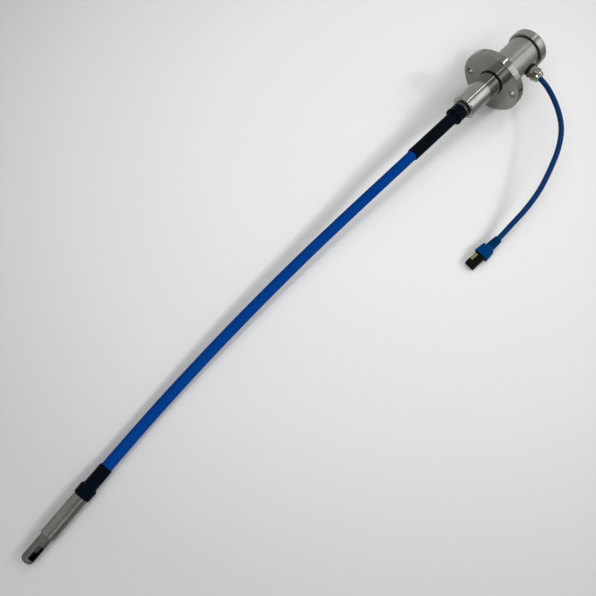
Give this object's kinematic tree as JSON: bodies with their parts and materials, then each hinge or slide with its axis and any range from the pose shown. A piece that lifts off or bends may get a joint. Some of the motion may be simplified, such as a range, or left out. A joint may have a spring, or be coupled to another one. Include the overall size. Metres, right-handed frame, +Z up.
{
  "type": "temperature probe",
  "caption": "Temperature probe on a blue hose: windowed steel sensor, polished stem with two-hole flange, screw-capped head, cable gland and a short blue lead with a shielded modular plug.",
  "frame": {"origin": "centre of the flange's mounting face, on the stem's axis", "axes": "+X along the stem from the flange towards the sensor, +Y level on the cable gland side, +Z up from the table that the probe lies on"},
  "size_m": [0.7839, 0.1749, 0.077],
  "materials": {
    "steel_turned": "turned, part polished",
    "steel_polished": "polished",
    "steel_satin": "satin",
    "steel_plain": "plain",
    "nickel_plate": "nickel plated",
    "rubber_black": "matte",
    "sleeve_black": "semi matte",
    "hose_blue": "semi gloss",
    "cable_blue": "semi gloss",
    "boot_blue": "semi gloss",
    "plug_smoke": "gloss",
    "contact_gold": "gold plated",
    "lead_grey": "plain",
    "board_green": "solder resist",
    "block_grey": "plain",
    "brass_plain": "plain",
    "insulator_white": "plain",
    "element_dark": "semi gloss"
  },
  "bodies": {
    "probe": {"board_screws": "steel_plain", "board_standoffs": "brass_plain", "cable_cores": "lead_grey", "element_holder": "insulator_white", "flange_o_ring": "rubber_black", "flange_plate": "steel_turned", "gland_body": "nickel_plate", "gland_nut": "nickel_plate", "gland_seal": "rubber_black", "gland_washer": "rubber_black", "head_housing": "steel_satin", "hose_adapter": "steel_polished", "inner_lead": "lead_grey", "lower_ferrule": "steel_plain", "lower_sleeve": "sleeve_black", "plug_body": "plug_smoke", "plug_boot": "boot_blue", "plug_contacts": "contact_gold", "plug_shield": "nickel_plate", "probe_hose": "hose_blue", "sensing_element": "element_dark", "sensor_body": "steel_turned", "signal_cable": "cable_blue", "stem_end_ring": "rubber_black", "stem_tube": "steel_polished", "terminal_block": "block_grey", "terminal_board": "board_green", "tip_guard": "steel_turned", "upper_ferrule": "steel_plain", "upper_sleeve": "sleeve_black"},
    "seal_ring": {"cap_seal": "rubber_black"},
    "cap": {"head_cap": "steel_satin"}
  },
  "joints": [
    {"name": "cap_lift", "type": "slide", "parent": "probe", "child": "seal_ring", "axis": [-1, 0, 0], "range_m": [0, 0.006]},
    {"name": "cap_turn", "type": "hinge", "parent": "seal_ring", "child": "cap", "pos_m": [-0.07, 0, 0], "axis": [-1, 0, 0], "range_deg": [0, 1440]}
  ],
  "couplings": [
    {"joint": "cap_lift", "follows": "cap_turn", "m_per_rad": 0.00023873}
  ]
}
